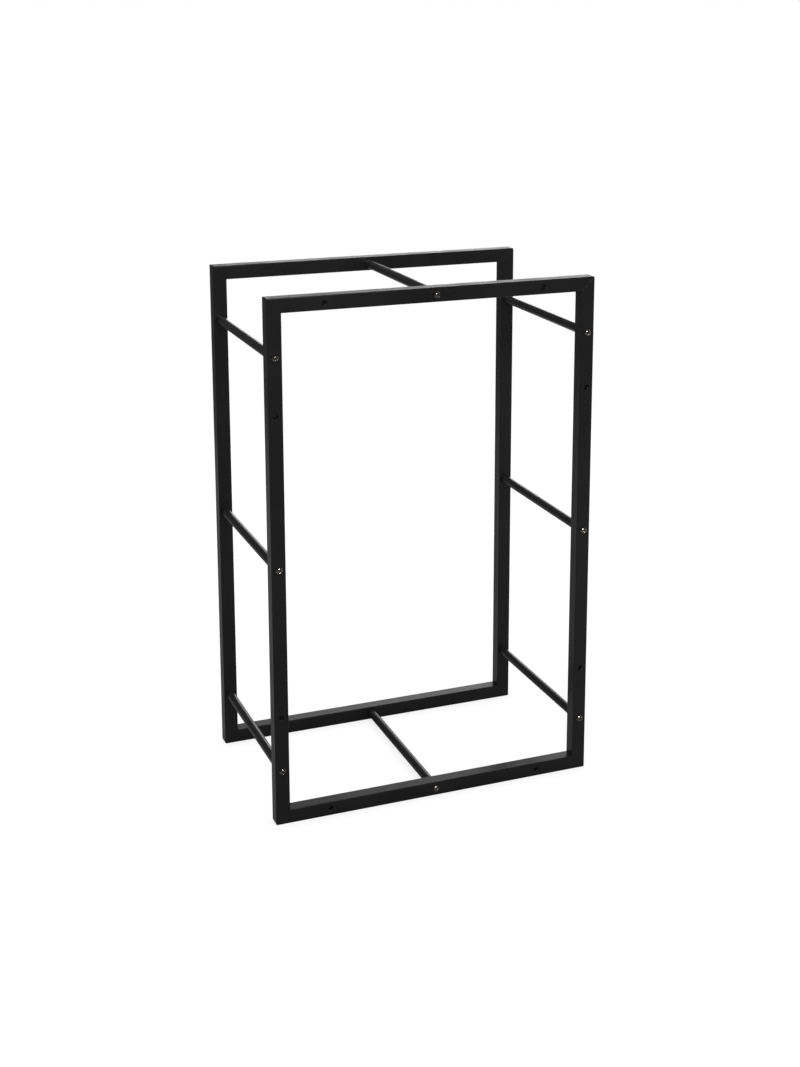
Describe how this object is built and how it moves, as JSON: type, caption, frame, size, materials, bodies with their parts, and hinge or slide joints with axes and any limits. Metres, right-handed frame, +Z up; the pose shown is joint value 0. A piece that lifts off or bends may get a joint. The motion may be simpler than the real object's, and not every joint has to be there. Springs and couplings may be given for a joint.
{
  "type": "log holder",
  "caption": "Open firewood rack of two upright rectangular square-tube frames held apart by bolted round crossbars.",
  "frame": {"origin": "on the floor, under the middle of the rack's width and depth", "axes": "+X to the right along the width, -Y out of the front frame's outer face, +Z up"},
  "size_m": [0.6, 0.3788, 0.935],
  "materials": {
    "frame_paint": "satin black powder coat on steel tube, very fine texture",
    "crossbar_paint": "satin black powder coat on round steel tube, a little glossier than the frames",
    "screw_plating": "polished black nickel plating on steel",
    "insert_steel": "bare turned steel with zinc plating"
  },
  "bodies": {
    "root": {"front_left_upright": "frame_paint", "front_right_upright": "frame_paint", "front_top_rail": "frame_paint", "front_bottom_rail": "frame_paint", "rear_left_upright": "frame_paint", "rear_right_upright": "frame_paint", "rear_top_rail": "frame_paint", "rear_bottom_rail": "frame_paint", "left_top_crossbar": "crossbar_paint", "left_middle_crossbar": "crossbar_paint", "left_bottom_crossbar": "crossbar_paint", "right_top_crossbar": "crossbar_paint", "right_middle_crossbar": "crossbar_paint", "right_bottom_crossbar": "crossbar_paint", "top_crossbar": "crossbar_paint", "bottom_crossbar": "crossbar_paint", "front_screws": "screw_plating", "rear_screws": "screw_plating", "front_threaded_inserts": "insert_steel", "rear_threaded_inserts": "insert_steel"}
  },
  "joints": []
}
